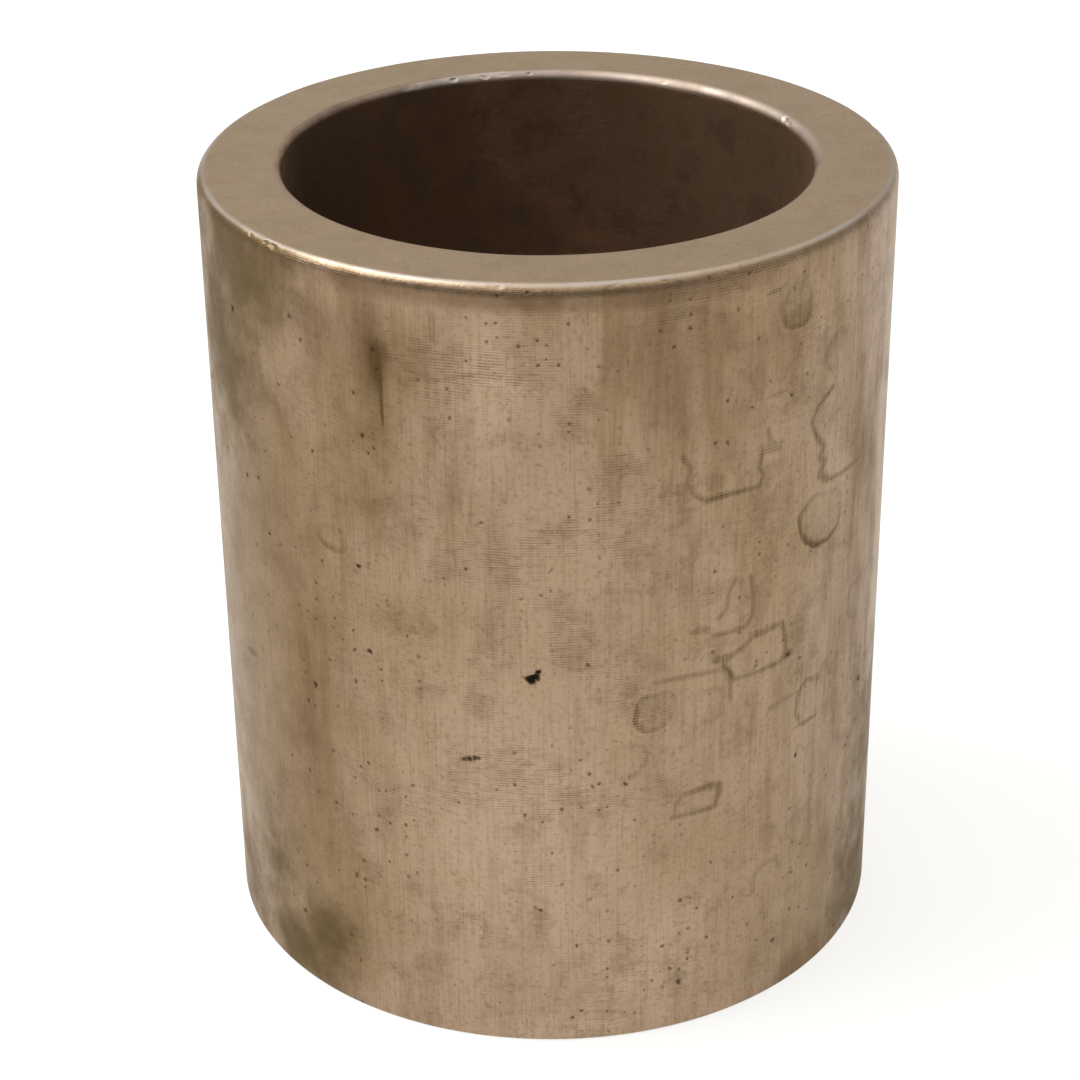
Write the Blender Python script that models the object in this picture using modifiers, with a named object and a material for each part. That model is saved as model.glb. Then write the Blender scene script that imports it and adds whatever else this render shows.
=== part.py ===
"""Plain sleeve bushing, turned all over from one solid bronze casting.

The sleeve stands on its lower end. Its axis is +Z and the origin is the centre
of the lower end. All sizes are in metres.
"""

import math

import bpy

INCH = 0.0254

# Driving dimensions.
BORE_DIAMETER = 2 * INCH
WALL_THICKNESS = 5 / 16 * INCH
LENGTH = (3 + 1 / 8) * INCH

# Broken edges: how far each one cuts across the end face, and how far along the wall.
TOP_OUTER_BREAK = (0.0009, 0.0013)
TOP_BORE_BREAK = (0.0009, 0.0010)
BOTTOM_OUTER_BREAK = (0.0003, 0.0003)
BOTTOM_BORE_BREAK = (0.0009, 0.0010)

# Facets round each broken edge, and round the sleeve.
BREAK_FACETS = 4
TURN_STEPS = 128

# Merge distance of the turned mesh's closing seam.
SEAM_MERGE = 0.00001

# Dull, lightly tarnished cast bronze.
BRONZE_COLOUR = (0.40, 0.29, 0.18, 1.0)
BRONZE_ROUGHNESS = 0.42


def clear_scene():
    """Removes every object, so that the sleeve is alone."""
    for item in list(bpy.data.objects):
        bpy.data.objects.remove(item)


def make_bronze():
    """Bare machined bronze, as a Principled BSDF."""
    bronze = bpy.data.materials.new("cast_bronze")
    bronze.use_nodes = True
    shader = bronze.node_tree.nodes["Principled BSDF"]
    shader.inputs["Base Color"].default_value = BRONZE_COLOUR
    shader.inputs["Metallic"].default_value = 1.0
    shader.inputs["Roughness"].default_value = BRONZE_ROUGHNESS
    return bronze


def broken_edge(corner, across, along):
    """A quarter ellipse that rounds a corner, as (radius, height) points.

    It starts on the end face, across away from the corner, and ends on the wall, along
    away from the corner. Both distances are signed, towards the metal.
    """
    radius, height = corner
    turns = [math.pi / 2 * step / BREAK_FACETS for step in range(BREAK_FACETS + 1)]
    return [
        (radius + across * (1 - math.sin(turn)), height + along * (1 - math.cos(turn)))
        for turn in turns
    ]


def sleeve_section():
    """The wall's cross-section as a closed loop of (radius, height) points.

    It runs down the outside, in across the lower end, up the bore and out across the
    upper end.
    """
    bore_radius = BORE_DIAMETER / 2
    outer_radius = bore_radius + WALL_THICKNESS

    across, along = TOP_OUTER_BREAK
    top_outer = broken_edge((outer_radius, LENGTH), -across, -along)
    across, along = BOTTOM_OUTER_BREAK
    bottom_outer = broken_edge((outer_radius, 0), -across, along)
    across, along = BOTTOM_BORE_BREAK
    bottom_bore = broken_edge((bore_radius, 0), across, along)
    across, along = TOP_BORE_BREAK
    top_bore = broken_edge((bore_radius, LENGTH), across, -along)

    return top_outer + bottom_outer[::-1] + bottom_bore + top_bore[::-1]


def make_sleeve(bronze, collection):
    """The sleeve: its cross-section turned through a full circle about +Z."""
    section = sleeve_section()
    points = [(radius, 0, height) for radius, height in section]
    edges = [(i, (i + 1) % len(points)) for i in range(len(points))]
    mesh = bpy.data.meshes.new("bushing_sleeve")
    mesh.from_pydata(points, edges, [])
    mesh.materials.append(bronze)

    sleeve = bpy.data.objects.new("bushing_sleeve", mesh)
    collection.objects.link(sleeve)

    turning = sleeve.modifiers.new("turning", "SCREW")
    turning.axis = "Z"
    turning.angle = math.tau
    turning.steps = TURN_STEPS
    turning.render_steps = TURN_STEPS
    turning.use_merge_vertices = True
    turning.merge_threshold = SEAM_MERGE
    turning.use_smooth_shade = True

    # The ends stay flat and the walls round where they run into the broken edges.
    sleeve.modifiers.new("flat_ends", "WEIGHTED_NORMAL")
    return sleeve


clear_scene()
sleeve_collection = bpy.data.collections.new("sleeve_bushing")
bpy.context.scene.collection.children.link(sleeve_collection)
make_sleeve(make_bronze(), sleeve_collection)
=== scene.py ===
"""The finished look of a plain bronze sleeve bushing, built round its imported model.

Metres, +Z up, the sleeve standing on z = 0 with its axis on Z. Bearings round the sleeve are
degrees from its front (-Y), positive to the right (+X). Sizes of marks are in millimetres.
"""

import math

import bpy
import numpy as np
from mathutils import Matrix, Vector


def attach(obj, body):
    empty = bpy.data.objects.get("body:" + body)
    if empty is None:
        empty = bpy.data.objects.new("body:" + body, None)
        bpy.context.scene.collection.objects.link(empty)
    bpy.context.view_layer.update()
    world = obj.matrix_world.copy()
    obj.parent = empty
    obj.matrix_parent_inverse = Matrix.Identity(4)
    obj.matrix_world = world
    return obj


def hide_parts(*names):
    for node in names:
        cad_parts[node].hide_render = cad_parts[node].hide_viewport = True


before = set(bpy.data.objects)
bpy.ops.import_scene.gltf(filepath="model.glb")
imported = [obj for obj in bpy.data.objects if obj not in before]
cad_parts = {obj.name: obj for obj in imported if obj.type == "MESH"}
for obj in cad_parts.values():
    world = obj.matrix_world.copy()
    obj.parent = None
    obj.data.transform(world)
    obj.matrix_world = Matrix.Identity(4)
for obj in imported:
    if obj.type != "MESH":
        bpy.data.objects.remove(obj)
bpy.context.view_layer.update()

# ---------------------------------------------------------------------------------------------
# The camera. It looks down at the sleeve from close by with a short telephoto lens, so that the
# upper end, the bore's mouth and the whole of the front wall show.

SENSOR_WIDTH = 36
FOCAL_LENGTH = 90.2
CAMERA_PLACE = (0, -0.2457, 0.1659)
LOOKS_DOWN = 27.516
CAMERA_YAW = math.radians(0.258)
CAMERA_TILT = math.radians(90 - LOOKS_DOWN)
CAMERA_ROLL = math.radians(-0.648)

camera_data = bpy.data.cameras.new("camera")
camera_data.sensor_width = SENSOR_WIDTH
camera_data.lens = FOCAL_LENGTH
camera_data.clip_start = 0.01
camera = bpy.data.objects.new("camera", camera_data)
camera.matrix_world = (
    Matrix.Translation(CAMERA_PLACE)
    @ Matrix.Rotation(CAMERA_YAW, 4, "Z")
    @ Matrix.Rotation(CAMERA_TILT, 4, "X")
    @ Matrix.Rotation(CAMERA_ROLL, 4, "Z")
)
bpy.context.scene.collection.objects.link(camera)
bpy.context.scene.camera = camera

# ---------------------------------------------------------------------------------------------
# The sleeve. One hollow cylinder of cast bearing bronze, turned, bored and faced on a lathe. Its
# edges were broken by hand with a file, so they wander a little, and its walls carry the pores of
# the casting and the knocks of storage.

MM = 0.001

cad_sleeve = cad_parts["bushing_sleeve"]
cad_points = np.empty(3 * len(cad_sleeve.data.vertices))
cad_sleeve.data.vertices.foreach_get("co", cad_points)
cad_points = cad_points.reshape(-1, 3)

OUTER = float(cad_points[:, 0].max())
BORE = float(np.hypot(cad_points[:, 0], cad_points[:, 1]).min())
LENGTH = float(cad_points[:, 2].max())
MIDDLE = (OUTER + BORE) / 2

# Broken edges: across the end face, and along the wall.
TOP_OUTER_BREAK = (0.9 * MM, 1.3 * MM)
TOP_BORE_BREAK = (0.9 * MM, 1.0 * MM)
LOW_OUTER_BREAK = (0.3 * MM, 0.3 * MM)
LOW_BORE_BREAK = (0.9 * MM, 1.0 * MM)

# The sharp corner that each tangent point of the section comes from, and its step from there.
SHARP = np.array([
    (OUTER, LENGTH), (OUTER, 0), (OUTER, 0), (BORE, 0),
    (BORE, 0), (BORE, LENGTH), (BORE, LENGTH), (OUTER, LENGTH),
])
STEP = np.array([
    (0, -TOP_OUTER_BREAK[1]), (0, LOW_OUTER_BREAK[1]),
    (-LOW_OUTER_BREAK[0], 0), (LOW_BORE_BREAK[0], 0),
    (0, LOW_BORE_BREAK[1]), (0, -TOP_BORE_BREAK[1]),
    (TOP_BORE_BREAK[0], 0), (-TOP_OUTER_BREAK[0], 0),
])
STRETCHES = len(SHARP)

# How the file strayed as it went round, as (share of a break, waves, phase). It took less than
# usual off the left of the bore's mouth, which lies between the section's points 5 and 6.
FILE_WANDER = [(0.05, 3, 0.6), (0.03, 7, 2.1), (0.02, 16, 4.0)]
BORE_MOUTH = (5, 6)
LIGHT_BEARING = math.radians(-100)
LIGHT_SHARE = 0.42


def turned(bearing, station):
    """Points of the turned sleeve at bearings (radians) and stations (0 to 8) as arrays.

    The stations run once round the wall's cross-section: down the outside, round the lower outer
    break, in across the lower end, up the bore, and back over the upper end. Even stretches are
    straight. Odd ones are quarter ellipses: centre + (start - centre) cos + (end - centre) sin.
    Each break is made deeper or shallower by a sum of sines of the bearing, and the bore's mouth
    is made shallower by a squared cosine round its lightly filed side.
    """
    waves = (share * np.sin(count * bearing + phase) for share, count, phase in FILE_WANDER)
    wander = sum(waves, 1)
    lightly = LIGHT_SHARE * np.maximum(np.cos(bearing - LIGHT_BEARING), 0) ** 2
    stretch = np.floor(station).astype(int) % STRETCHES
    following = (stretch + 1) % STRETCHES
    start_step = STEP[stretch] * (wander - lightly * np.isin(stretch, BORE_MOUTH))[:, None]
    end_step = STEP[following] * (wander - lightly * np.isin(following, BORE_MOUTH))[:, None]
    start = SHARP[stretch] + start_step
    end = SHARP[following] + end_step

    along = (station % 1)[:, None]
    rounded = (stretch % 2 == 1)[:, None]
    centre = np.where(rounded, start + end_step, 0)
    from_start = np.where(rounded, np.cos(along * math.pi / 2), 1 - along)
    from_end = np.where(rounded, np.sin(along * math.pi / 2), along)
    section = centre + (start - centre) * from_start + (end - centre) * from_end
    radius, height = section.T
    return np.stack([radius * np.sin(bearing), -radius * np.cos(bearing), height], 1)


def turned_grid(columns, rows):
    """Bearings, stations and triangles of a closed grid round the sleeve.

    rows says how many rows of faces each stretch has. In a straight stretch they close up
    towards its ends, by a cosine, so that the flats stay flat where the breaks begin.
    """
    stations = []
    for stretch, count in enumerate(rows):
        along = np.arange(count) / count
        if stretch % 2 == 0:
            along = (1 - np.cos(math.pi * along)) / 2
        stations.append(stretch + along)
    stations = np.concatenate(stations)
    bearings = np.arange(columns) * math.tau / columns

    row, column = np.divmod(np.arange(len(stations) * columns), columns)
    below = (row + 1) % len(stations) * columns
    across = (column + 1) % columns
    here = row * columns
    quads = np.stack([here + column, below + column, below + across, here + across], 1)
    faces = np.concatenate([quads[:, [0, 1, 2]], quads[:, [0, 2, 3]]])
    return bearings[column], stations[row], faces


def refined(bearing, station, faces, finest_wanted, rounds):
    """Halves every edge that is longer than is wanted where its middle lies, several times.

    Bearings and stations are periodic, so a middle is taken between unit complex numbers. A face
    with one, two or three halved edges becomes two, three or four faces, and the mesh stays
    closed because neighbours share each edge's middle.
    """
    places = np.exp(1j * np.stack([bearing, station * math.tau / STRETCHES], 1))
    for _ in range(rounds):
        station = np.angle(places[:, 1]) % math.tau * STRETCHES / math.tau
        points = turned(np.angle(places[:, 0]), station)
        sides = np.sort(faces[:, [[0, 1], [1, 2], [2, 0]]], axis=2).reshape(-1, 2)
        codes, side_of = np.unique(sides[:, 0] * len(points) + sides[:, 1], return_inverse=True)
        first, second = np.divmod(codes, len(points))
        reach = np.linalg.norm(points[first] - points[second], axis=1)
        halve = reach > finest_wanted((points[first] + points[second]) / 2)
        if not halve.any():
            break
        middle = places[first[halve]] + places[second[halve]]
        number = np.full(len(codes), -1)
        number[halve] = len(places) + np.arange(halve.sum())
        places = np.concatenate([places, middle / np.abs(middle)])
        faces = split_faces(faces, number[side_of.reshape(-1, 3)])
    station = np.angle(places[:, 1]) % math.tau * STRETCHES / math.tau
    return np.angle(places[:, 0]), station, faces


def split_faces(faces, middles):
    """Faces cut at the middles of their sides. A side with no middle has -1."""
    count = (middles >= 0).sum(1)
    # Each face is turned so that its lone cut side, or its lone whole side, comes where
    # the patterns below expect it.
    lone_cut = np.argmax(middles >= 0, axis=1)
    lone_whole = (np.argmin(middles >= 0, axis=1) + 1) % 3
    first = np.where(count == 1, lone_cut, np.where(count == 2, lone_whole, 0))
    order = (np.arange(3) + first[:, None]) % 3
    a, b, c = np.take_along_axis(faces, order, 1).T
    ab, bc, ca = np.take_along_axis(middles, order, 1).T
    patterns = [
        (count == 0, [(a, b, c)]),
        (count == 1, [(a, ab, c), (ab, b, c)]),
        (count == 2, [(ab, b, bc), (a, ab, bc), (a, bc, c)]),
        (count == 3, [(a, ab, ca), (ab, b, bc), (ca, bc, c), (ab, bc, ca)]),
    ]
    return np.concatenate(
        [np.stack(corners, 1)[chosen] for chosen, cuts in patterns for corners in cuts]
    )


# Pores, as (bearing, height, width, darkness): gas holes of the casting that the lathe opened,
# with dirt in them and painted shade at their cores. The first three run together in one torn
# hole near the middle of the front.
PORES = [
    (-3.3, 40.9, 0.90, 1.0), (-2.6, 41.2, 0.80, 1.0), (-2.2, 41.7, 0.55, 1.0),
    (-29.9, 63.6, 0.42, 0.7), (-28.9, 62.0, 0.28, 0.7), (-27.9, 62.6, 0.30, 0.5),
    (-31.7, 50.2, 0.42, 0.8), (-30.3, 41.5, 0.50, 0.8), (-33.3, 43.2, 0.30, 0.6),
    (-42.2, 35.6, 0.55, 0.7), (-44.2, 33.4, 0.40, 0.5), (-40.0, 60.5, 0.32, 0.7),
    (-41.3, 71.2, 0.40, 0.4), (-43.6, 73.1, 0.45, 0.4), (-31.2, 67.6, 0.36, 0.5),
    (-60.0, 70.8, 0.50, 0.6), (-54.6, 54.8, 0.42, 0.5), (-58.6, 54.2, 0.45, 0.4),
    (-52.2, 49.5, 0.40, 0.5), (-48.4, 7.8, 0.50, 0.5), (-30.5, 21.8, 0.40, 0.7),
    (-27.8, 23.0, 0.30, 0.5), (-34.5, 26.9, 0.28, 0.5), (5.6, 42.4, 0.34, 0.5),
    (18.8, 73.0, 0.36, 0.3), (28.0, 66.9, 0.38, 0.5), (32.6, 65.6, 0.32, 0.4),
    (36.0, 67.6, 0.30, 0.4), (40.5, 65.5, 0.38, 0.5), (43.9, 67.0, 0.36, 0.4),
    (26.0, 63.0, 0.34, 0.5), (28.2, 62.8, 0.42, 0.4), (27.7, 54.5, 0.34, 0.4),
    (26.4, 50.1, 0.34, 0.5), (44.6, 26.6, 0.42, 0.8), (43.6, 20.8, 0.36, 0.4),
    (48.9, 12.6, 0.40, 0.4), (65.8, 29.3, 0.80, 0.5), (60.7, 23.0, 0.55, 0.3),
    (40.6, 6.0, 0.50, 0.5), (26.8, 18.4, 0.34, 0.4), (11.5, 29.3, 0.34, 0.6),
    (6.3, 29.3, 0.34, 0.5), (-2.2, 15.5, 0.38, 0.6), (3.7, 11.3, 0.36, 0.6),
    (41.7, 38.5, 0.45, 0.7), (21.2, 5.3, 0.55, 0.7), (-13.2, 52.0, 0.34, 0.4),
    (-10.6, 56.8, 0.34, 0.35), (-14.3, 31.9, 0.34, 0.7), (-13.4, 32.0, 0.42, 0.8),
    (-12.5, 32.2, 0.36, 0.75), (-11.9, 32.2, 0.28, 0.6), (-27.4, 72.2, 0.40, 0.5),
    (-26.9, 70.4, 0.40, 0.5),
]

# Tide marks, as (bearing, height, half width, half height, squareness, heavy side, strength):
# rims left by drying drops of coolant. The heavy side is a direction, 0 right and -90 down.
TIDE_MARKS = [
    (49.1, 51.3, 3.1, 2.8, 2.5, -120, 1.00), (41.2, 74.0, 1.8, 2.3, 2.2, -95, 0.70),
    (16.4, 36.6, 1.9, 1.9, 2.8, 190, 0.75), (12.2, 31.6, 1.9, 1.7, 2.4, 0, 0.35),
    (48.2, 32.1, 2.4, 2.2, 2.8, 150, 0.60), (61.3, 39.4, 1.5, 1.9, 2.4, 180, 0.40),
    (29.6, 32.4, 1.2, 1.2, 3.0, -20, 0.30), (-36.8, 52.3, 1.5, 1.3, 2.6, -110, 0.60),
    (51.5, 67.9, 1.8, 1.9, 2.2, 150, 0.35), (-38.5, 73.4, 1.4, 1.3, 2.6, -20, 0.35),
    (25.8, 36.0, 1.7, 1.6, 3.2, 20, 0.30), (60.0, 68.0, 2.4, 5.2, 2.2, 10, 0.30),
    (-14.0, 12.2, 1.6, 2.2, 2.6, 100, 0.25),
]

# Runs of dirt that a drop pushed ahead of it, as (half width, strength, places), with each place
# a (bearing, height). They break off where the drop did.
DIRT_RUNS = [
    (0.14, 0.81, [(20.5, 62.2), (21.8, 61.0), (21.3, 59.5), (22.6, 58.2), (24.5, 57.5)]),
    (0.17, 0.97, [(24.5, 57.5), (29.5, 57.6), (34.4, 57.5), (35.2, 58.6)]),
    (0.17, 0.97, [(35.2, 58.6), (34.2, 59.3), (34.9, 61.0)]),
    (0.20, 0.65, [(34.9, 61.0), (37.6, 60.8), (36.4, 61.6), (35.9, 62.8)]),
    (0.11, 0.54, [(20.0, 56.9), (22.6, 56.9)]),
    (0.20, 0.92, [(50.5, 64.3), (47.0, 63.2), (45.5, 62.0), (45.9, 61.1), (47.0, 60.0)]),
    (0.28, 0.76, [
        (47.0, 60.0), (48.8, 58.8), (48.0, 57.8), (49.2, 57.2),
        (48.0, 56.0), (50.2, 55.1),
    ]),
    (0.14, 0.86, [(50.2, 55.0), (54.0, 54.8), (61.0, 54.9)]),
    (0.17, 0.65, [(30.3, 48.7), (29.0, 47.5), (28.9, 46.0), (27.3, 45.1)]),
    (0.17, 0.81, [
        (26.2, 43.4), (27.8, 43.3), (32.5, 43.4), (33.7, 44.3),
        (33.9, 46.0), (33.2, 48.5),
    ]),
    (0.22, 0.92, [(28.3, 40.0), (29.5, 38.9), (30.5, 38.1)]),
    (0.14, 0.86, [(30.5, 38.1), (35.0, 38.0), (40.3, 38.1)]),
    (0.22, 0.86, [(40.3, 38.2), (41.2, 39.0), (41.0, 40.5), (40.2, 42.3)]),
    (0.20, 0.70, [
        (40.2, 42.3), (36.0, 42.1), (34.5, 42.3), (32.0, 41.2),
        (30.0, 40.8), (26.4, 40.9),
    ]),
    (0.11, 0.65, [(16.0, 39.7), (21.0, 39.8), (27.5, 39.6)]),
    (0.13, 0.49, [(42.2, 41.5), (44.8, 41.7)]),
    (0.14, 0.49, [(28.6, 39.8), (29.8, 37.8), (30.0, 36.0)]),
    (0.15, 0.81, [(19.7, 24.6), (24.0, 24.6), (27.2, 24.7)]),
    (0.22, 0.81, [(27.2, 24.7), (28.0, 26.0), (28.1, 27.0), (26.0, 27.2), (22.0, 26.9)]),
    (0.14, 0.65, [(20.0, 25.0), (20.2, 26.0), (21.6, 27.0)]),
    (0.20, 0.43, [(35.4, 13.0), (35.6, 14.8), (37.5, 15.8), (40.3, 15.9), (41.6, 14.6)]),
    (0.14, 0.54, [(38.0, 33.4), (40.6, 33.7), (43.2, 33.7)]),
    (0.11, 0.49, [(-22.0, 70.8), (-17.0, 70.2), (-10.0, 71.2)]),
]

# Smears of dirt and scratched patches, as (bearing, height, half width, half height, lean,
# strength). Lean turns the patch anticlockwise, in degrees.
SMEARS = [
    (-27.2, 71.2, 0.45, 1.9, 2, 0.8), (-26.3, 68.6, 0.24, 5.2, 2, 0.9),
    (-13.3, 32.0, 1.05, 0.22, 9, 1.0), (-61.5, 34.2, 1.4, 0.34, 8, 0.6),
    (36.2, 76.1, 1.1, 0.14, 6, 0.6), (28.0, 40.7, 1.1, 0.45, 0, 0.7),
    (46.8, 29.8, 1.9, 0.14, 0, 0.5), (24.3, 44.3, 0.9, 0.40, 0, 0.5),
    (41.6, 38.5, 0.7, 0.35, 10, 1.0), (-22.5, 69.5, 0.7, 0.3, -30, 0.3),
    (1.2, 7.4, 0.10, 0.9, -12, 0.35), (22.9, 15.0, 0.60, 0.12, -40, 0.8),
    (-17.5, 75.0, 0.25, 1.6, 0, 0.3), (37.4, 66.1, 1.6, 0.12, 4, 0.5),
    (-36.0, 29.0, 0.3, 0.9, 8, 0.3), (-20.0, 58.6, 1.2, 0.12, 3, 0.25),
    (26.0, 59.2, 0.9, 0.9, 0, 0.35), (33.5, 68.0, 0.8, 1.6, 0, 0.3),
    (36.5, 60.9, 0.7, 0.45, -20, 0.6), (41.4, 73.2, 1.3, 0.9, 0, 0.3),
]

# Knocks on the upper edges, as (bearing, radius, width, depth). Each is measured from the middle
# of its break, which lies in from the sharp corner and below it by the inset.
KNOCK_INSET = 0.3
KNOCKS = [
    (-47.4, OUTER, 0.80, 0.26), (-49.6, OUTER, 0.50, 0.12), (-52.8, OUTER, 0.45, 0.09),
    (-7.3, OUTER, 0.60, 0.07), (9.6, OUTER, 0.45, 0.07), (17.5, OUTER, 0.40, 0.07),
    (62.0, OUTER, 0.60, 0.10), (104.0, OUTER, 0.90, 0.16), (-131.0, OUTER, 0.80, 0.14),
    (171.0, OUTER, 0.70, 0.10), (-147.6, BORE, 0.75, 0.22), (-157.0, BORE, 0.60, 0.18),
    (-165.1, BORE, 0.55, 0.18), (-170.2, BORE, 0.60, 0.14), (-176.5, BORE, 0.40, 0.12),
    (113.0, BORE, 0.70, 0.26), (152.0, BORE, 0.40, 0.08), (-94.0, BORE, 0.55, 0.16),
    (-88.0, BORE, 0.40, 0.12), (-20.0, BORE, 0.45, 0.08), (36.0, BORE, 0.50, 0.09),
]

# More of the same marks behind, where the sleeve has stood and rolled just as long.
PORES_BEHIND = 26
TIDE_MARKS_BEHIND = 11
chance = np.random.default_rng(7)
for _ in range(PORES_BEHIND):
    PORES.append((
        chance.uniform(75, 285), chance.uniform(4, 75), chance.uniform(0.28, 0.60),
        chance.uniform(0.4, 0.8),
    ))
for _ in range(TIDE_MARKS_BEHIND):
    TIDE_MARKS.append((
        chance.uniform(80, 280), chance.uniform(8, 72), chance.uniform(1.3, 3.2),
        chance.uniform(1.3, 2.8), chance.uniform(2.2, 4.0), chance.uniform(0, 360),
        chance.uniform(0.3, 0.7),
    ))

# Broad stains on the outside, as (bearing, height, half width, half height, strength): ochre
# where it has dulled, olive where damp air reached it, brown where oil dried on it, and fresh
# where hands and rags rubbed it. The olive ones at bearing 72 only darken the foot of the wall
# on the right, and the fresh one at height 1 only lightens the foot of the front.
OCHRE_STAINS = [
    (-55, 40, 14, 60, 1.0), (-76, 45, 8, 50, 1.0), (-44, 6, 9, 9, 1.0), (-30, 66, 9, 14, 0.9),
    (60, 6, 12, 9, 0.5), (34, 64, 12, 12, 0.3), (68, 46, 9, 34, 0.4), (5, 64, 10, 9, 0.2),
    (140, 52, 18, 34, 0.9), (-125, 30, 16, 30, 0.8), (95, 20, 12, 20, 0.5),
]
OLIVE_STAINS = [
    (-56, 76, 10, 7, 1.0), (-66, 67, 8, 14, 0.85), (-27.1, 71.0, 1.3, 3.4, 1.0),
    (-42, 6, 4.5, 6, 0.9), (-52, 3, 7, 4, 1.0), (-72, 4, 8, 10, 0.7), (-76, 76, 8, 12, 0.7),
    (72, 4, 9, 10, 0.9), (40, 77, 6, 2, 0.3), (72, 20, 7, 14, 0.7), (-56, 10, 6, 8, 0.6),
    (150, 30, 16, 18, 0.6), (-140, 60, 14, 12, 0.6),
]
BROWN_STAINS = [
    (20, 71, 7, 11, 0.8), (36, 70, 7, 7, 0.5), (61, 45, 8, 50, 0.55), (50, 0, 9, 4, 0.9),
    (-28, 73, 2.2, 6, 1.0), (-27, 66, 1.2, 6, 0.6), (-37, 73, 6, 7, 0.7), (-44, 30, 4, 14, 0.7),
    (66, 26, 7, 10, 0.3), (34, 64, 4, 4, 0.5), (64, 64, 5, 9, 0.4), (35, 54, 5, 7, 0.35),
    (-20, 60, 3, 8, 0.4), (125, 62, 15, 20, 0.7), (-110, 22, 12, 18, 0.5),
]
FRESH_PATCHES = [
    (-10, 71, 5, 9, 1.0), (-4, 24, 14, 30, 0.9), (-2, 50, 8, 14, 0.6), (14, 8, 12, 12, 0.9),
    (8, 1, 20, 4, 1.0), (36, 66, 6, 14, 0.4), (170, 30, 14, 20, 0.8),
]

# Films of old oil in the bore, as (bearing, height, half width, half height, strength).
BORE_FILMS = [
    (-165, 55, 24, 34, 0.45), (-134, 56, 20, 44, 0.75), (-156, 65.7, 2.6, 2.5, 0.8),
    (-126, 73, 2.4, 2.2, 0.7), (134, 75, 2.0, 1.9, 0.5), (165, 74, 2.4, 1.6, 0.4),
    (177, 75, 1.4, 1.1, 0.4), (147, 74, 1.6, 1.4, 0.4), (-169, 71, 2.2, 2.4, 0.4),
    (122, 68, 2.8, 2.6, 0.5), (157, 76, 1.2, 0.9, 0.4), (20, 60, 5, 6, 0.6), (-50, 48, 6, 5, 0.6),
    (80, 30, 7, 6, 0.6),
]


def from_mark(points, bearing, height, wall=OUTER):
    """How far points lie from a place on one wall, round it and up it, in millimetres.

    The way round is the turn between the bearings, within half a turn, times the wall's radius.
    A point that belongs to the other wall is put far away.
    """
    turn = np.arctan2(points[:, 0], -points[:, 1]) - math.radians(bearing)
    turn = (turn + math.pi) % math.tau - math.pi
    outside = np.hypot(points[:, 0], points[:, 1]) > MIDDLE
    right = np.where(outside == (wall == OUTER), turn * wall / MM, 1000)
    return right, points[:, 2] / MM - height


def from_knock(points, bearing, radius):
    """How far points lie from a place on an upper edge: along it, across it and up, in mm.

    Along and across are dot products with the edge's own directions there.
    """
    turn = math.radians(bearing)
    along = points @ (math.cos(turn), math.sin(turn), 0)
    across = points @ (math.sin(turn), -math.cos(turn), 0) - radius
    inset = -KNOCK_INSET if radius == OUTER else KNOCK_INSET
    up = (points[:, 2] - LENGTH) / MM + KNOCK_INSET
    return np.stack([along / MM, across / MM - inset, up], 1)


def ragged(right, up, seed, amount):
    """A factor near 1 that makes a round outline uneven: a few cosines of the direction."""
    direction = np.arctan2(up, right)
    phases = np.random.default_rng(seed).uniform(0, math.tau, 5)
    waves = [np.cos(n * direction + phase) / n for n, phase in zip((2, 3, 5, 8, 13), phases)]
    return 1 + amount * sum(waves)


def leaning(right, up, lean):
    """Offsets turned by the lean into a patch's own directions, as a plane rotation."""
    cos = math.cos(math.radians(lean))
    sin = math.sin(math.radians(lean))
    return right * cos + up * sin, up * cos - right * sin


def outline_gap(right, up, half_width, half_height, squareness, seed, amount):
    """Signed gap in millimetres to a rounded outline, negative inside it.

    The outline is a superellipse, |x|^n + |y|^n = 1, made uneven. The gap is taken along
    the ray from its centre, where the level is kept above 0 so that it can divide.
    """
    x = np.abs(right / half_width)
    y = np.abs(up / half_height)
    level = (x ** squareness + y ** squareness) ** (1 / squareness)
    level = np.maximum(level * ragged(right, up, seed, amount), 0.01)
    return np.hypot(right, up) * (1 - 1 / level)


def falling(distance, full, none):
    """1 up to full, 0 from none, and between them 3 s^2 - 2 s^3 of the share s still to go."""
    share = np.clip((none - distance) / (none - full), 0, 1)
    return share * share * (3 - 2 * share)


WIDEST_GAP = 9


def joined(outlines):
    """The signed gap to several outlines that run together, and the strength of the nearest.

    It is the lowest of their gaps, held to the widest gap that anything looks at.
    """
    gaps, strengths = (np.array(values) for values in zip(*outlines))
    lowest = np.argmin(gaps, axis=0)[None]
    gap = np.take_along_axis(gaps, lowest, 0)[0]
    return np.clip(gap, -WIDEST_GAP, WIDEST_GAP), np.take_along_axis(strengths, lowest, 0)[0]


def tide_outlines(points):
    """Each tide mark's gap, and its strength, by a cosine: strong on its heavy side."""
    for seed, mark in enumerate(TIDE_MARKS):
        bearing, height, half_width, half_height, squareness, heavy, strength = mark
        right, up = from_mark(points, bearing, height)
        gap = outline_gap(right, up, half_width, half_height, squareness, seed, 0.13)
        side = np.arctan2(up, right) - math.radians(heavy)
        yield gap, strength * (0.60 + 0.40 * np.cos(side))


def run_distance(points, places):
    """Distance in millimetres to a chain of straight pieces laid on the outer wall.

    The nearest place on a piece is its start plus its direction times the share along it, which
    is a dot product held between 0 and 1.
    """
    nearest = np.full(len(points), 1000.0)
    for (bearing, height), (next_bearing, next_height) in zip(places, places[1:]):
        right, up = from_mark(points, bearing, height)
        run = math.radians(next_bearing - bearing) * OUTER / MM
        rise = next_height - height
        share = np.clip((right * run + up * rise) / (run * run + rise * rise), 0, 1)
        nearest = np.minimum(nearest, np.hypot(right - run * share, up - rise * share))
    return nearest


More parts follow.
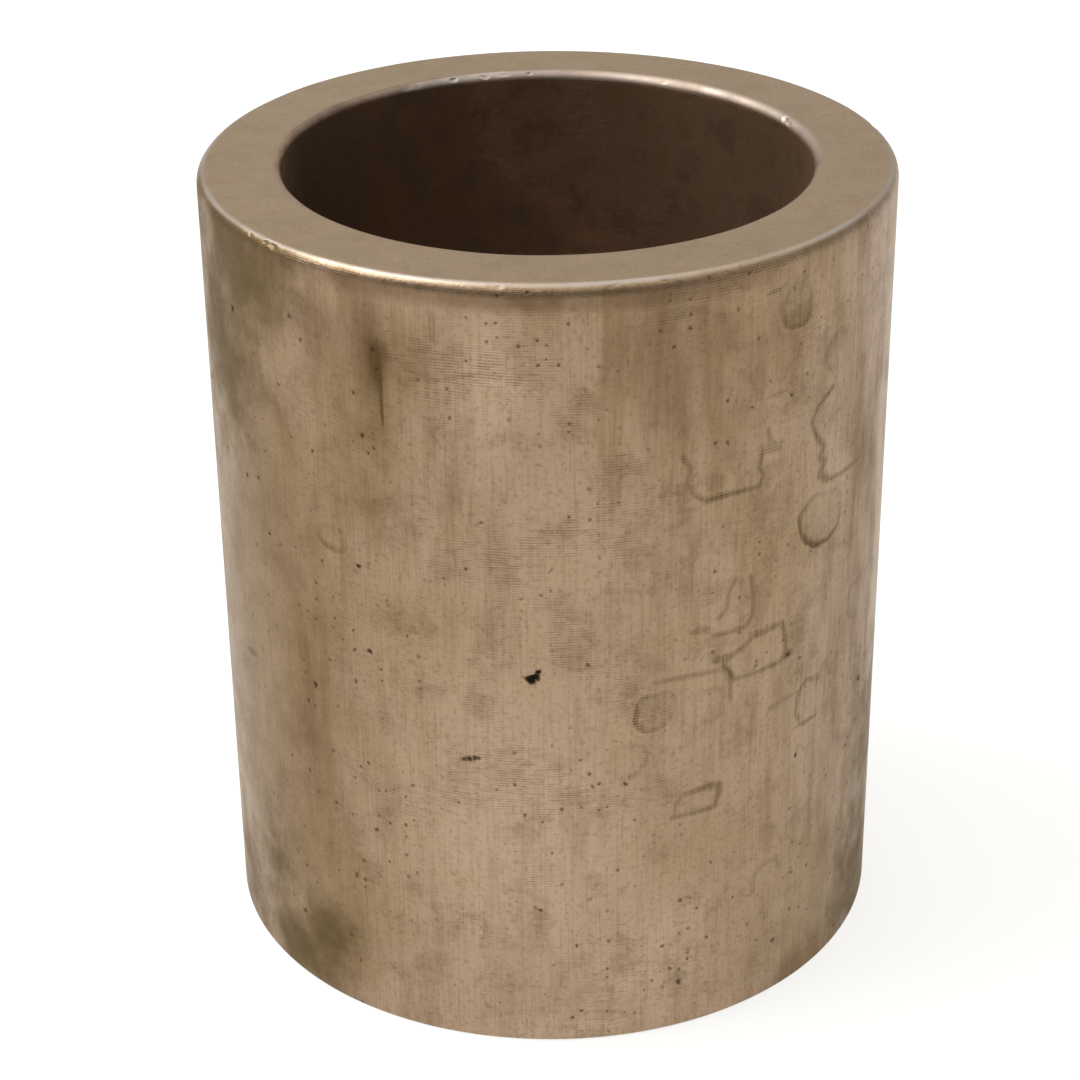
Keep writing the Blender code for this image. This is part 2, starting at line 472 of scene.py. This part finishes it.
def smear_outlines(points):
    """Each smear's gap and strength, then each dirt run's."""
    for seed, (bearing, height, half_width, half_height, lean, strength) in enumerate(SMEARS):
        right, up = leaning(*from_mark(points, bearing, height), lean)
        gap = outline_gap(right, up, half_width, half_height, 2, seed, 0.25)
        yield gap, np.full(len(points), strength)
    for half_width, strength, places in DIRT_RUNS:
        yield run_distance(points, places) - half_width, np.full(len(points), strength)


# The longest edge on each kind of mark in millimetres, and how much longer an edge may be for
# each millimetre beyond the mark.
PORE_EDGE = (0.13, 0.9)
TIDE_EDGE = (0.68, 1.4)
SMEAR_EDGE = (0.38, 1.4)
RUN_EDGE = (0.36, 1.5)
FILM_EDGE = (0.7, 1.2)
KNOCK_EDGE = (0.12, 0.9)

# A film's edge may also be longer by this share of its half width. A dent is longer along its edge
# than it is wide.
WIDE_FILM = 0.12
DENT_LENGTH = 1.8


def allowed(edge, beyond):
    """The longest edge allowed: the mark's own plus its growth times the distance beyond it."""
    longest, growth = edge
    return longest + growth * np.maximum(beyond, 0)


def spacing_wanted(points):
    """The longest edge that the marks near each point allow, in metres: the least of them all."""
    wanted = np.full(len(points), np.inf)
    for bearing, height, width, _ in PORES:
        right, up = from_mark(points, bearing, height)
        wanted = np.minimum(wanted, allowed(PORE_EDGE, np.hypot(right, up) - 0.8 * width))
    for gap, _ in tide_outlines(points):
        wanted = np.minimum(wanted, allowed(TIDE_EDGE, np.abs(gap) - 0.5))
    for bearing, height, half_width, half_height, lean, _ in SMEARS:
        right, up = leaning(*from_mark(points, bearing, height), lean)
        right = np.maximum(np.abs(right) - half_width, 0)
        up = np.maximum(np.abs(up) - half_height, 0)
        wanted = np.minimum(wanted, allowed(SMEAR_EDGE, np.hypot(right, up) - 0.3))
    for half_width, _, places in DIRT_RUNS:
        beyond = run_distance(points, places) - half_width - 0.15
        wanted = np.minimum(wanted, allowed(RUN_EDGE, beyond))
    for bearing, height, half_width, half_height, _ in BORE_FILMS:
        right, up = from_mark(points, bearing, height, BORE)
        reach = np.hypot(right / half_width, up / half_height)
        edge = (WIDE_FILM * half_width + FILM_EDGE[0], FILM_EDGE[1])
        wanted = np.minimum(wanted, allowed(edge, np.abs(reach - 1) * half_height - 1))
    for bearing, radius, width, _ in KNOCKS:
        offset = from_knock(points, bearing, radius) / (DENT_LENGTH, 1, 1)
        beyond = np.linalg.norm(offset, axis=1) - 1.3 * width
        wanted = np.minimum(wanted, allowed(KNOCK_EDGE, beyond))
    return wanted * MM


def stained(points, patches, wall=OUTER, full=0.0, none=1.7):
    """The strongest of several soft patches on a wall at each point.

    A patch is an uneven ellipse. It fades from the reach full to the reach none, and its outline
    has a reach of 1.
    """
    share = np.zeros(len(points))
    on_wall = falling(np.abs(np.hypot(points[:, 0], points[:, 1]) - wall), 0.4 * MM, 1.2 * MM)
    for seed, (bearing, height, half_width, half_height, strength) in enumerate(patches):
        right, up = from_mark(points, bearing, height, wall)
        reach = np.hypot(right / half_width, up / half_height) * ragged(right, up, seed, 0.25)
        share = np.maximum(share, strength * falling(reach, full, none))
    return share * on_wall


ROWS = (46, 8, 6, 6, 26, 9, 8, 11)
COLUMNS = 240
HALVINGS = 5
bearing, station, faces = turned_grid(COLUMNS, ROWS)
bearing, station, faces = refined(bearing, station, faces, spacing_wanted, HALVINGS)
points = turned(bearing, station)

# What lies on the surface: each is a value that the mesh holds at every point.
PORE_DEPTH = 0.20
dirt = np.zeros(len(points))
pit_depth = np.zeros(len(points))
for seed, (mark_bearing, height, width, darkness) in enumerate(PORES):
    right, up = from_mark(points, mark_bearing, height)
    distance = np.hypot(right, up) / (width / 2) * ragged(right, up, seed, 0.35)
    pit_depth += PORE_DEPTH * width * falling(distance, 0.35, 1.15)
    dirt = np.maximum(dirt, darkness * falling(distance, 0.5, 1.5))
tide_gap, tide_strength = joined(tide_outlines(points))
smear_gap, smear_strength = joined(smear_outlines(points))

# On the lower part of the outer break and just below it, most of all at the front, a brown band is
# painted: partly oil, and partly a painted dark reflection of the dim room behind the camera. The
# breaks are painted pale, partly burnished by hands and partly a painted highlight: the bore's
# mostly at the back, where the lamp's highlight lies, and the upper part of the outer one all the
# way round.
GRIME_AND_REFLECTION_BEARING = -4
BORE_GLEAM_BEARING = 155
BORE_GLEAM = 5.55
OUTER_GLEAM = 7.22
from_grime_and_reflection = np.abs((np.degrees(bearing) - GRIME_AND_REFLECTION_BEARING + 180) % 360 - 180)
grime_and_dark_reflection = falling(station, 0.006, 0.018) + falling(STRETCHES - station, 0.12, 0.50)
grime_and_dark_reflection *= falling(from_grime_and_reflection, 14, 46) * 0.8 + 0.2
from_gleam = np.abs(np.degrees(bearing) % 360 - BORE_GLEAM_BEARING)
worn_and_highlit_edge = falling(np.abs(station - BORE_GLEAM), 0.25, 0.5)
worn_and_highlit_edge *= falling(from_gleam, 45, 75) * 0.8 + 0.2
worn_and_highlit_edge += falling(np.abs(station - OUTER_GLEAM), 0.06, 0.26)

# Each knock is three small dents that run together, each less deep than the whole and with a low
# burr round it.
DENTS = 3
DENT_SPREAD = (0.9, 0.2, 0.25)
DENT_DEPTH = 0.36
BURR_HEIGHT = 0.10
knock_depth = np.zeros(len(points))
for seed, (mark_bearing, radius, width, depth) in enumerate(KNOCKS):
    offset = from_knock(points, mark_bearing, radius)
    scatter = np.random.default_rng(seed).uniform(-1, 1, (DENTS, 3)) * DENT_SPREAD * width
    for number, centre in enumerate(scatter):
        reach = width * (0.70 - 0.12 * number)
        stretch = (DENT_LENGTH * reach, reach, reach)
        distance = np.linalg.norm((offset - centre) / stretch, axis=1)
        burr = BURR_HEIGHT * falling(np.abs(distance - 1.1), 0.0, 0.3)
        knock_depth += DENT_DEPTH * depth * (falling(distance, 0.0, 1.0) - burr)

# Pores go straight in. Knocks push the edge down and towards the middle of the wall, and a burr
# stays within the sleeve's own length and diameter.
outward = points * (1, 1, 0) / np.hypot(points[:, 0], points[:, 1])[:, None]
points -= outward * pit_depth[:, None] * MM
side = np.where(np.hypot(points[:, 0], points[:, 1]) > MIDDLE, 1, -1)
points -= (outward * side[:, None] + (0, 0, 1)) * knock_depth[:, None] * MM * math.sqrt(0.5)
points[:, 2] = np.minimum(points[:, 2], LENGTH)
points[:, :2] *= np.minimum(OUTER / np.hypot(points[:, 0], points[:, 1]), 1)[:, None]

sleeve_mesh = bpy.data.meshes.new("turned_sleeve")
sleeve_mesh.from_pydata(points, [], faces.tolist())
sleeve_mesh.shade_smooth()
surface_values = {
    "dirt": dirt, "tide_gap": tide_gap, "tide_strength": tide_strength,
    "smear_gap": smear_gap, "smear_strength": smear_strength,
    "grime_and_dark_reflection": grime_and_dark_reflection, "worn_and_highlit_edge": worn_and_highlit_edge,
    "ochre": stained(points, OCHRE_STAINS), "olive": stained(points, OLIVE_STAINS),
    "brown": stained(points, BROWN_STAINS), "fresh": stained(points, FRESH_PATCHES),
    "bore_film": stained(points, BORE_FILMS, BORE, 0.7, 1.25),
}
for name, values in surface_values.items():
    attribute = sleeve_mesh.attributes.new(name, "FLOAT", "POINT")
    attribute.data.foreach_set("value", values.astype(np.float32))
sleeve = bpy.data.objects.new("turned_sleeve", sleeve_mesh)
bpy.context.scene.collection.objects.link(sleeve)

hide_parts("bushing_sleeve")
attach(sleeve, "root")

# The sleeve's bronze: bare metal, fine-turned, rubbed down along its axis, and since then dulled
# by handling. It is warm where it is clean, and ochre, olive and brown where it has tarnished.

bronze = bpy.data.materials.new("tarnished_bronze")
bronze.use_nodes = True
nodes = bronze.node_tree.nodes
shader = nodes["Principled BSDF"]


def feed(socket, value):
    """Links a socket to another node's output, or sets it to a plain value."""
    if isinstance(value, bpy.types.NodeSocket):
        bronze.node_tree.links.new(value, socket)
    else:
        socket.default_value = value


def calc(operation, *values):
    """One step of arithmetic between numbers or outputs, by the name of its operation."""
    node = nodes.new("ShaderNodeMath")
    node.operation = operation
    for socket, value in zip(node.inputs, values):
        feed(socket, value)
    return node.outputs[0]


def shift(value, low, high, low_to, high_to):
    """Value carried from low..high to low_to..high_to by a smooth step, and held at both ends."""
    node = nodes.new("ShaderNodeMapRange")
    node.interpolation_type = "SMOOTHSTEP"
    for socket, given in zip(node.inputs, (value, low, high, low_to, high_to)):
        feed(socket, given)
    return node.outputs[0]


def stretched(across, along):
    """Object coordinates scaled differently across the axis (x and y) and along the lathe's feed.

    The feed runs up the walls and across the ends: it is height less radius, so it has no seam.
    """
    node = nodes.new("ShaderNodeCombineXYZ")
    feed(node.inputs[0], calc("MULTIPLY", x, across))
    feed(node.inputs[1], calc("MULTIPLY", y, across))
    feed(node.inputs[2], calc("MULTIPLY", travel, along))
    return node.outputs[0]


def noise(vector, scale, detail, roughness=0.5):
    """Fractal noise from 0 to 1, most of it between 0.3 and 0.7."""
    node = nodes.new("ShaderNodeTexNoise")
    feed(node.inputs["Vector"], vector)
    feed(node.inputs["Scale"], scale)
    feed(node.inputs["Detail"], detail)
    feed(node.inputs["Roughness"], roughness)
    return node.outputs[0]


def blend(share, first, second):
    """A mix of two colours, by the mix node's own colour sockets: 6 and 7 in, 2 out."""
    node = nodes.new("ShaderNodeMix")
    node.data_type = "RGBA"
    feed(node.inputs["Factor"], share)
    feed(node.inputs[6], first)
    feed(node.inputs[7], second)
    return node.outputs[2]


def stored(name):
    """A value that the mesh holds at each point."""
    node = nodes.new("ShaderNodeAttribute")
    node.attribute_name = name
    return node.outputs["Fac"]


def clouded(share, cloud, amount, low=0.15, high=0.95):
    """A share whose edge follows a cloud: the cloud's own swing, times amount, is added to it."""
    swing = calc("SUBTRACT", cloud, 0.5)
    return shift(calc("MULTIPLY_ADD", swing, amount, share), low, high, 0, 1)


coordinates = nodes.new("ShaderNodeTexCoord").outputs["Object"]
place = nodes.new("ShaderNodeSeparateXYZ")
feed(place.inputs[0], coordinates)
x, y, height = place.outputs
radius = calc("SQRT", calc("ADD", calc("POWER", x, 2), calc("POWER", y, 2)))
travel = calc("SUBTRACT", height, radius)
in_bore = shift(radius, BORE + 0.2 * MM, BORE + 1.0 * MM, 1, 0)
on_end = shift(height, LENGTH - 0.5 * MM, LENGTH - 0.05 * MM, 0, 1)

# The metal's own colours, then those of what lies on it and of its bare worn edges, which
# also carry a painted highlight.
CLEAN = (0.390, 0.279, 0.190, 1)
DULL = (0.342, 0.243, 0.144, 1)
FRESH = (0.455, 0.333, 0.230, 1)
OCHRE = (0.240, 0.158, 0.078, 1)
STRAW = (0.330, 0.228, 0.118, 1)
OLIVE = (0.105, 0.073, 0.032, 1)
BROWN = (0.185, 0.112, 0.058, 1)
END_FACE = (0.405, 0.300, 0.188, 1)
RIM = (0.092, 0.053, 0.022, 1)
LINE = (0.130, 0.070, 0.030, 1)
# A brown band under the outer break: partly oil, partly a painted dark reflection.
GRIME_AND_DARK_REFLECTION = (0.150, 0.088, 0.048, 1)
DIRT = (0.070, 0.036, 0.018, 1)
FRECKLE = (0.115, 0.055, 0.024, 1)
# Near-black: painted shade inside a pore.
PORE_SHADE = (0.012, 0.012, 0.012, 1)
# The bore's colour: painted shade and inner reflection of the recess.
BORE_SHADE = (0.315, 0.202, 0.118, 1)
BORE_FILM = (0.130, 0.085, 0.058, 1)
# Worn edges: pale burnished metal, and a painted highlight of the lamp on the breaks.
WORN_AND_HIGHLIT = (0.425, 0.370, 0.332, 1)

# Clouds of tarnish from 25 mm down to 1 mm, and a fine grain like skin. The numbers say how many
# of each there are in a metre.
CLOUDS = 45
PATCHES = 120
MOTTLES = 240
GRAINS = 2100
cloud = noise(coordinates, CLOUDS, 4, 0.6)
come_and_go = noise(coordinates, PATCHES, 3)
mottle = noise(coordinates, MOTTLES, 5, 0.68)
grain = noise(coordinates, GRAINS, 3, 0.6)

# The tool's fine rings, and the rubbing across them. Both come and go. The pairs are how many
# there are in a metre across the axis and along the feed. The rings' drift is in radians.
RING_PITCH = 0.26 * MM
RING_DRIFTS = (90, 420)
MOST_DRIFT = 14
DASHES = (620, 2600)
WIPES = (4200, 130)
BROAD_WIPES = (380, 70)
ring_drift = calc("MULTIPLY", noise(stretched(*RING_DRIFTS), 1, 2), MOST_DRIFT)
rings = calc("SINE", calc("MULTIPLY_ADD", travel, math.tau / RING_PITCH, ring_drift))
wipes = noise(stretched(*WIPES), 1, 2, 0.6)
broad_wipes = noise(stretched(*BROAD_WIPES), 1, 3, 0.6)
dashes = noise(stretched(*DASHES), 1, 2)
ring_share = shift(come_and_go, 0.42, 0.64, 0.08, 0.9)
ring_share = calc("ADD", ring_share, calc("MULTIPLY", stored("fresh"), 0.4))
ring_share = calc("MULTIPLY", ring_share, shift(dashes, 0.38, 0.62, 0.25, 1.25))
line_shade = calc("MULTIPLY", rings, ring_share)
wipe_shade = shift(wipes, 0.3, 0.7, -0.5, 0.5)
streaks = calc("MULTIPLY_ADD", wipe_shade, 0.75, calc("MULTIPLY", line_shade, 0.60))
patchy = calc("MULTIPLY_ADD", cloud, 0.6, calc("MULTIPLY", broad_wipes, 0.4))

# From the bare metal up: each layer of colour covers a share of the one under it.
colour = blend(shift(patchy, 0.40, 0.60, 0, 1), CLEAN, DULL)
colour = blend(clouded(stored("fresh"), broad_wipes, 1.0), colour, FRESH)
colour = blend(calc("MULTIPLY", clouded(stored("ochre"), cloud, 1.0), 0.9), colour, OCHRE)
colour = blend(shift(mottle, 0.48, 0.72, 0, 0.34), colour, BROWN)
colour = blend(shift(mottle, 0.50, 0.32, 0, 0.24), colour, STRAW)
colour = blend(shift(broad_wipes, 0.45, 0.70, 0, 0.30), colour, BROWN)
colour = blend(calc("MULTIPLY", on_end, 0.6), colour, END_FACE)
olive = clouded(stored("olive"), mottle, 0.9)
brown = clouded(stored("brown"), broad_wipes, 0.9)
colour = blend(calc("MULTIPLY", brown, 0.65), colour, BROWN)
colour = blend(calc("MULTIPLY", olive, 0.80), colour, OLIVE)
colour = blend(shift(streaks, -0.1, 0.8, 0, 0.36), colour, LINE)
off_end = calc("SUBTRACT", 1.0, calc("MULTIPLY", calc("MAXIMUM", on_end, in_bore), 0.75))
colour = blend(calc("MULTIPLY", shift(grain, 0.48, 0.74, 0, 0.34), off_end), colour, LINE)
# The bore is painted darker and redder than the outside: painted shade and inner reflection.
colour = blend(calc("MULTIPLY", in_bore, 0.9), colour, BORE_SHADE)
colour = blend(calc("MULTIPLY", in_bore, shift(mottle, 0.44, 0.66, 0, 0.6)), colour, BORE_FILM)
bore_film = clouded(stored("bore_film"), mottle, 0.8)
colour = blend(calc("MULTIPLY", bore_film, 0.8), colour, BORE_FILM)
# Band under the outer break: partly oil, partly a painted dark reflection of the room.
grime_and_reflection_share = calc("MULTIPLY", stored("grime_and_dark_reflection"), shift(come_and_go, 0.3, 0.7, 0.45, 0.95))
colour = blend(grime_and_reflection_share, colour, GRIME_AND_DARK_REFLECTION)

# Freckles: a few of the cells of a Voronoi pattern grow a speck, with a ragged edge, and they lie
# thicker in some places than in others.
SPECK_CELLS = 1150
SPECK_SWARMS = 60
speck = nodes.new("ShaderNodeTexVoronoi")
feed(speck.inputs["Vector"], coordinates)
feed(speck.inputs["Scale"], SPECK_CELLS)
speck_size = nodes.new("ShaderNodeSeparateColor")
feed(speck_size.inputs[0], speck.outputs["Color"])
speck_reach = shift(speck_size.outputs[0], 0.45, 1.0, -0.19, 0.12)
speck_reach = calc("MULTIPLY_ADD", grain, 0.30, speck_reach)
specks = shift(calc("SUBTRACT", speck.outputs["Distance"], speck_reach), -0.10, 0.03, 1, 0)
swarms = noise(coordinates, SPECK_SWARMS, 2)
specks = calc("MULTIPLY", specks, shift(swarms, 0.40, 0.58, 0.30, 1.0))
specks = calc("MULTIPLY", specks, off_end)

# Dried rims are hard outside and fade inwards. Dirt stays in the turned lines.
combed = shift(calc("MULTIPLY_ADD", rings, 0.6, wipe_shade), -0.7, 0.5, 0.42, 1.0)
wobble = calc("MULTIPLY", calc("SUBTRACT", mottle, 0.5), 0.9)
wobble = calc("MULTIPLY_ADD", calc("SUBTRACT", grain, 0.5), 0.35, wobble)
tide_gap = calc("ADD", stored("tide_gap"), wobble)
tide_inside = shift(tide_gap, -0.70, -0.15, 0.18, 1.0)
tide_rim = calc("MULTIPLY", tide_inside, shift(tide_gap, 0.08, 0.26, 1, 0))
tide_share = calc("MULTIPLY", calc("MULTIPLY", tide_rim, stored("tide_strength")), combed)
smear_gap = calc("ADD", stored("smear_gap"), wobble)
smear_share = calc("MULTIPLY", shift(smear_gap, -0.24, 0.34, 1, 0), stored("smear_strength"))
smear_share = calc("MULTIPLY", smear_share, combed)
colour = blend(tide_share, colour, RIM)
colour = blend(calc("MULTIPLY", smear_share, 0.9), colour, RIM)
colour = blend(calc("MULTIPLY", specks, 0.75), colour, FRECKLE)
colour = blend(calc("MINIMUM", calc("MULTIPLY", stored("dirt"), 1.2), 1.0), colour, DIRT)
# The core of each dirty pore is painted near-black: painted shade inside the hole.
colour = blend(shift(stored("dirt"), 0.75, 1.0, 0, 1), colour, PORE_SHADE)
# The breaks are painted pale: partly burnished wear, partly a painted highlight of the lamp.
worn_and_highlit = calc("MULTIPLY", stored("worn_and_highlit_edge"), shift(come_and_go, 0.35, 0.6, 1.0, 0.6))
colour = blend(calc("MULTIPLY", worn_and_highlit, 0.8), colour, WORN_AND_HIGHLIT)
feed(shader.inputs["Base Color"], colour)

dirty = calc("MAXIMUM", calc("MAXIMUM", tide_share, smear_share), calc("MAXIMUM", olive, brown))
roughness = calc("ADD", shift(mottle, 0.3, 0.7, 0.38, 0.48), calc("MULTIPLY", dirty, 0.06))
roughness = calc("MULTIPLY_ADD", in_bore, 0.10, roughness)
feed(shader.inputs["Roughness"], roughness)
shader.inputs["Metallic"].default_value = 1.0

# Tarnish also takes the pale gleam from the metal where it turns away.
CLEAN_GLEAM = (1, 1, 1, 1)
DULL_GLEAM = (0.80, 0.76, 0.70, 1)
feed(shader.inputs["Specular Tint"], blend(dirty, CLEAN_GLEAM, DULL_GLEAM))

# The relief is a few hundredths of a millimetre at most, and hands have smoothed the edges.
RELIEF = 0.02 * MM
bump = nodes.new("ShaderNodeBump")
bump.inputs["Distance"].default_value = RELIEF
relief = calc("ADD", calc("MULTIPLY", streaks, -0.6), calc("MULTIPLY", mottle, 0.6))
relief = calc("SUBTRACT", calc("MULTIPLY_ADD", grain, 0.8, relief), calc("MULTIPLY", specks, 1.5))
feed(bump.inputs["Strength"], shift(stored("worn_and_highlit_edge"), 0, 1, 1.0, 0.25))
feed(bump.inputs["Height"], relief)
feed(shader.inputs["Normal"], bump.outputs[0])

sleeve_mesh.materials.append(bronze)

# ---------------------------------------------------------------------------------------------
# The studio. A pale floor that glows a little, one large soft lamp above and to the left, and
# pale surroundings that are bright overhead, beyond the sleeve and to the right, with the dim end
# of the room behind the camera.

FLOOR_HALF = 6.0
FLOOR_GLOW = 0.74
FLOOR_COLOUR = (0.29, 0.29, 0.285, 1)
STUDIO_WHITE = (1.0, 0.99, 0.97, 1)

floor_mesh = bpy.data.meshes.new("floor")
floor_corners = [(-1, -1), (1, -1), (1, 1), (-1, 1)]
floor_points = [(x * FLOOR_HALF, y * FLOOR_HALF, 0) for x, y in floor_corners]
floor_mesh.from_pydata(floor_points, [], [(0, 1, 2, 3)])
floor = bpy.data.objects.new("floor", floor_mesh)
bpy.context.scene.collection.objects.link(floor)

paper = bpy.data.materials.new("pale_floor")
paper.use_nodes = True
paper_shader = paper.node_tree.nodes["Principled BSDF"]
paper_shader.inputs["Base Color"].default_value = FLOOR_COLOUR
paper_shader.inputs["Roughness"].default_value = 0.9
paper_shader.inputs["Emission Color"].default_value = STUDIO_WHITE
paper_shader.inputs["Emission Strength"].default_value = FLOOR_GLOW
floor_mesh.materials.append(paper)

# The lamp is square and faces the middle of the sleeve.
LAMP_PLACE = (-0.62, 0.0, 0.74)
LAMP_SIZE = 0.7
LAMP_POWER = 8.5
lamp_data = bpy.data.lights.new("overhead_lamp", "AREA")
lamp_data.size = LAMP_SIZE
lamp_data.energy = LAMP_POWER
lamp = bpy.data.objects.new("overhead_lamp", lamp_data)
lamp.location = LAMP_PLACE
lamp_aim = Vector((0, 0, LENGTH / 2)) - Vector(LAMP_PLACE)
lamp.rotation_mode = "QUATERNION"
lamp.rotation_quaternion = lamp_aim.to_track_quat("-Z", "Y")
bpy.context.scene.collection.objects.link(lamp)

world = bpy.data.worlds.new("studio")
world.use_nodes = True
bpy.context.scene.world = world
sky_nodes = world.node_tree.nodes
sky_links = world.node_tree.links
background = sky_nodes["Background"]
direction = sky_nodes.new("ShaderNodeSeparateXYZ")
sky_links.new(sky_nodes.new("ShaderNodeTexCoord").outputs["Generated"], direction.inputs[0])


def sky_step(value, low, high, low_to, high_to):
    """A brightness from low_to to high_to, by a smooth step of one part of a direction."""
    node = sky_nodes.new("ShaderNodeMapRange")
    node.interpolation_type = "SMOOTHSTEP"
    sky_links.new(value, node.inputs[0])
    for socket, given in zip(list(node.inputs)[1:5], (low, high, low_to, high_to)):
        socket.default_value = given
    return node.outputs[0]


def sky_brighter(first, second):
    """The larger of two brightnesses."""
    node = sky_nodes.new("ShaderNodeMath")
    node.operation = "MAXIMUM"
    sky_links.new(first, node.inputs[0])
    sky_links.new(second, node.inputs[1])
    return node.outputs[0]


DIMMEST = 0.03
OVERHEAD = 1.35
FAR_SIDE = 0.62
RIGHT_SIDE = 0.46
SEEN_BEHIND = 0.95
sideways, away, upwards = direction.outputs
overhead = sky_step(upwards, 0.40, 0.80, DIMMEST, OVERHEAD)
far_side = sky_step(away, 0.10, 0.70, 0.0, FAR_SIDE)
right_side = sky_step(sideways, 0.50, 0.95, 0.0, RIGHT_SIDE)
brightness = sky_brighter(overhead, sky_brighter(far_side, right_side))

# What is seen past the floor's edge is evenly pale, whatever light comes from there.
seen = sky_nodes.new("ShaderNodeLightPath").outputs["Is Camera Ray"]
backdrop = sky_nodes.new("ShaderNodeMix")
sky_links.new(seen, backdrop.inputs["Factor"])
sky_links.new(brightness, backdrop.inputs[2])
backdrop.inputs[3].default_value = SEEN_BEHIND
sky_links.new(backdrop.outputs[0], background.inputs["Strength"])
background.inputs["Color"].default_value = STUDIO_WHITE

bpy.context.scene.view_settings.view_transform = "Standard"
